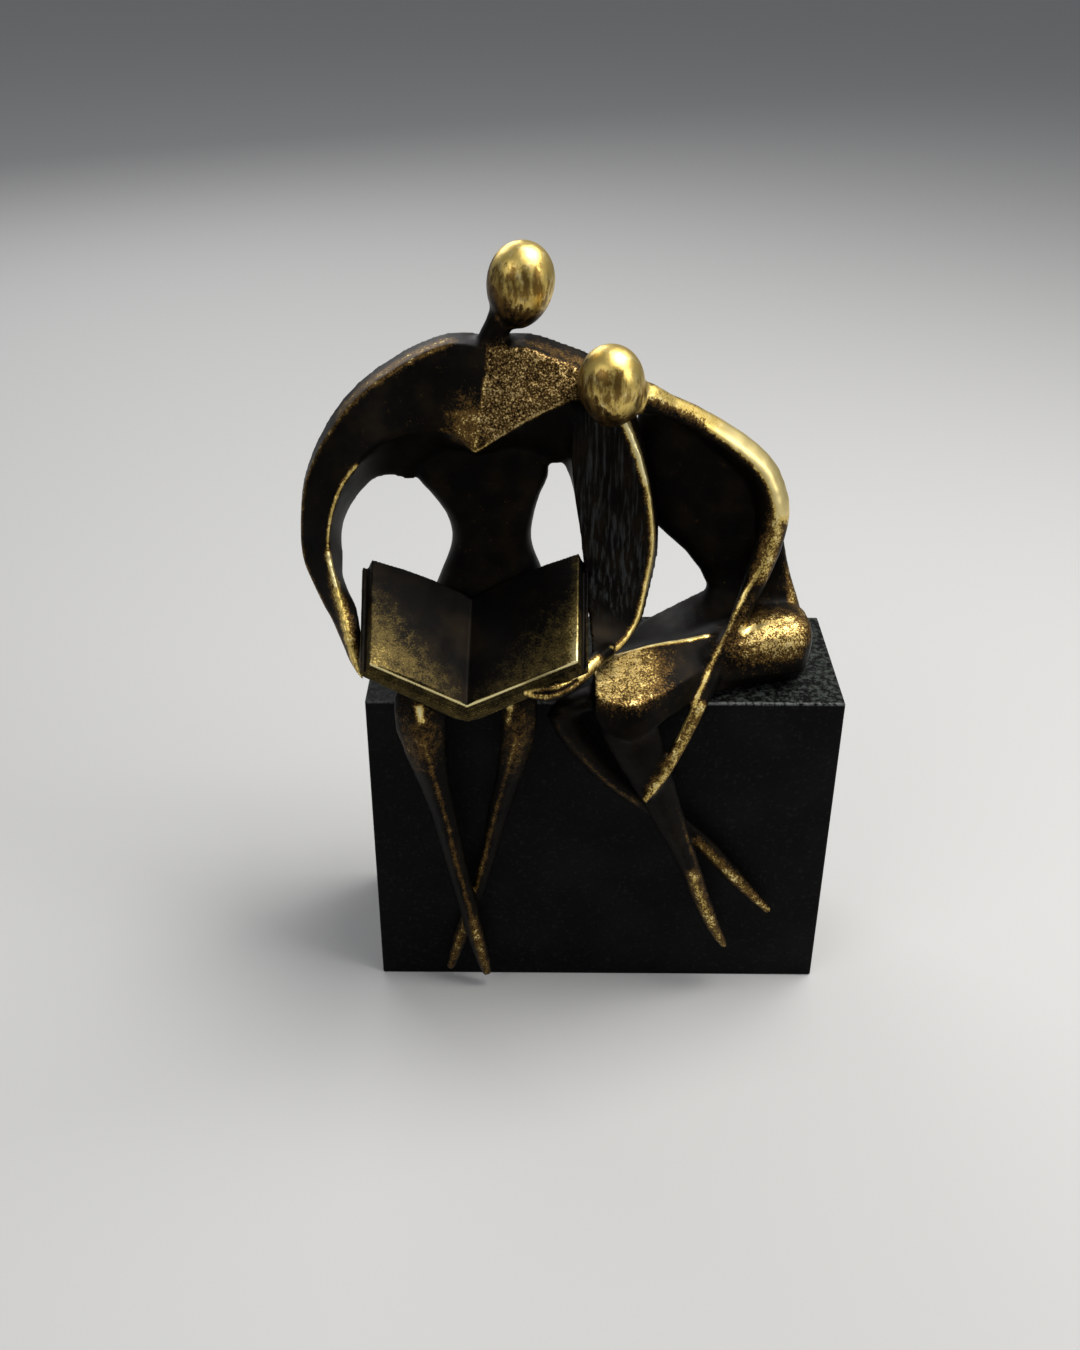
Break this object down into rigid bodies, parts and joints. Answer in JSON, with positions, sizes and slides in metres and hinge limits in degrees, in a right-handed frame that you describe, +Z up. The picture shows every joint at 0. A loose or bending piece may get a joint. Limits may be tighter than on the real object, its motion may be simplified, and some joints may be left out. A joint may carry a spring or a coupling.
{
  "type": "seated couple sculpture",
  "caption": "Abstract seated couple on a rectangular bench block, one figure reading an open book and the other leaning on its shoulder, dark patina with gold highlights.",
  "frame": {"origin": "centre of the bench block's flat underside", "axes": "-Y is the front, where the knees and the book face; +X is the viewer's right seen from the front; +Z is up, along the height of the sculpture"},
  "size_m": [0.1723, 0.0754, 0.2499],
  "materials": {
    "bench_black": "satin black, faintly granular, slightly worn edges",
    "reader_patina": "near-black brown patina, dry-brushed gold on the raised edges, head rubbed to gold",
    "book_patina": "dark patina in the gutter, dry-brushed gold towards the page edges",
    "leaning_patina": "near-black brown patina, gold along the arm, hip, knee and shins, head rubbed to gold"
  },
  "bodies": {
    "root": {"bench_block": "bench_black", "reader_figure": "reader_patina", "open_book": "book_patina", "leaning_figure": "leaning_patina"}
  },
  "joints": []
}
